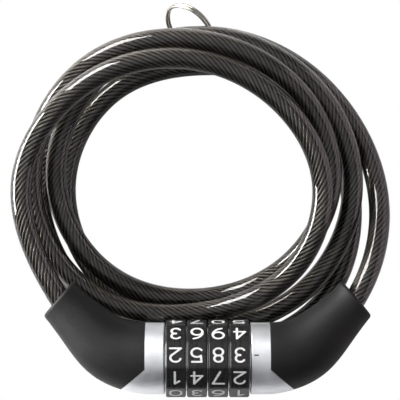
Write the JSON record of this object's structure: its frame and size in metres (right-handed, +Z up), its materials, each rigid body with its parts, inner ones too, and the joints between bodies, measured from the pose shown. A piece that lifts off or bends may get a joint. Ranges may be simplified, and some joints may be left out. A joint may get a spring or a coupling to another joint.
{
  "type": "cable lock",
  "caption": "Coiled combination cable lock: a smoke-clear jacketed steel cable wound in a flat coil, its ends joined by a barrel of numbered dials between elbow covers.",
  "frame": {"origin": "centre of the opening inside the coil, at the level of the surface the lock lies on", "axes": "+Z up through the coil, out of the face that is seen from above; +X along the dial barrel from the plug towards the barrel head; +Y from the dial barrel towards the split ring"},
  "size_m": [0.1443, 0.1497, 0.0382],
  "materials": {
    "dial_plastic": "moulded black acetal, slight sheen",
    "numerals_white": "white second-shot plastic",
    "code_ring_zinc": "zinc die casting, as cast",
    "spring_steel": "hardened spring steel",
    "spacer_steel": "stamped washers",
    "sleeve_zinc": "turned and slotted, plated",
    "bolt_steel": "hardened and plated",
    "pin_steel": "ground pin",
    "collar_satin": "satin silver plating",
    "index_paint": "black paint fill",
    "cover_softtouch": "black soft-touch skin",
    "ferrule_steel": "crimped sleeve",
    "screw_steel": "black oxide",
    "jacket_pvc": "smoke-coloured clear vinyl",
    "wire_rope": "laid galvanised wires",
    "ring_nickel": "nickel plating"
  },
  "bodies": {
    "lock_body": {"barrel_sleeve": "sleeve_zinc", "dial_spacers": "spacer_steel", "retaining_clip": "spring_steel", "barrel_pin": "pin_steel", "right_collar": "collar_satin", "right_cover": "cover_softtouch", "right_ferrule": "ferrule_steel", "right_grub_screw": "screw_steel", "index_mark": "index_paint", "detent_leaf_1": "spring_steel", "detent_leaf_2": "spring_steel", "detent_leaf_3": "spring_steel", "detent_leaf_4": "spring_steel", "cable_jacket": "jacket_pvc", "cable_core": "wire_rope"},
    "plug": {"locking_bolt": "bolt_steel", "bolt_pin": "pin_steel", "left_collar": "collar_satin", "left_cover": "cover_softtouch", "left_ferrule": "ferrule_steel", "left_grub_screw": "screw_steel"},
    "dial_body_1": {"dial_1": "dial_plastic", "dial_1_numerals": "numerals_white", "code_ring_1": "code_ring_zinc"},
    "dial_body_2": {"dial_2": "dial_plastic", "dial_2_numerals": "numerals_white", "code_ring_2": "code_ring_zinc"},
    "dial_body_3": {"dial_3": "dial_plastic", "dial_3_numerals": "numerals_white", "code_ring_3": "code_ring_zinc"},
    "dial_body_4": {"dial_4": "dial_plastic", "dial_4_numerals": "numerals_white", "code_ring_4": "code_ring_zinc"},
    "ring_body": {"hang_ring": "ring_nickel"}
  },
  "joints": [
    {"name": "dial_1_turn", "type": "hinge", "parent": "lock_body", "child": "dial_body_1", "pos_m": [0, -0.0667, 0.0235], "axis": [1, 0, 0], "continuous": true, "deforming": ["detent_leaf_1"]},
    {"name": "dial_2_turn", "type": "hinge", "parent": "lock_body", "child": "dial_body_2", "pos_m": [0, -0.0667, 0.0235], "axis": [1, 0, 0], "continuous": true, "deforming": ["detent_leaf_2"]},
    {"name": "dial_3_turn", "type": "hinge", "parent": "lock_body", "child": "dial_body_3", "pos_m": [0, -0.0667, 0.0235], "axis": [1, 0, 0], "continuous": true, "deforming": ["detent_leaf_3"]},
    {"name": "dial_4_turn", "type": "hinge", "parent": "lock_body", "child": "dial_body_4", "pos_m": [0, -0.0667, 0.0235], "axis": [1, 0, 0], "continuous": true, "deforming": ["detent_leaf_4"]},
    {"name": "plug_slide", "type": "slide", "parent": "lock_body", "child": "plug", "axis": [-1, 0, 0], "range_m": [0, 0.045], "deforming": ["cable_jacket", "cable_core"]},
    {"name": "hang_ring_swing", "type": "hinge", "parent": "lock_body", "child": "ring_body", "pos_m": [-0.00637, 0.05645, 0.00786], "axis": [0.9977, 0.0565, 0.0381], "range_deg": [-24, 4]}
  ]
}
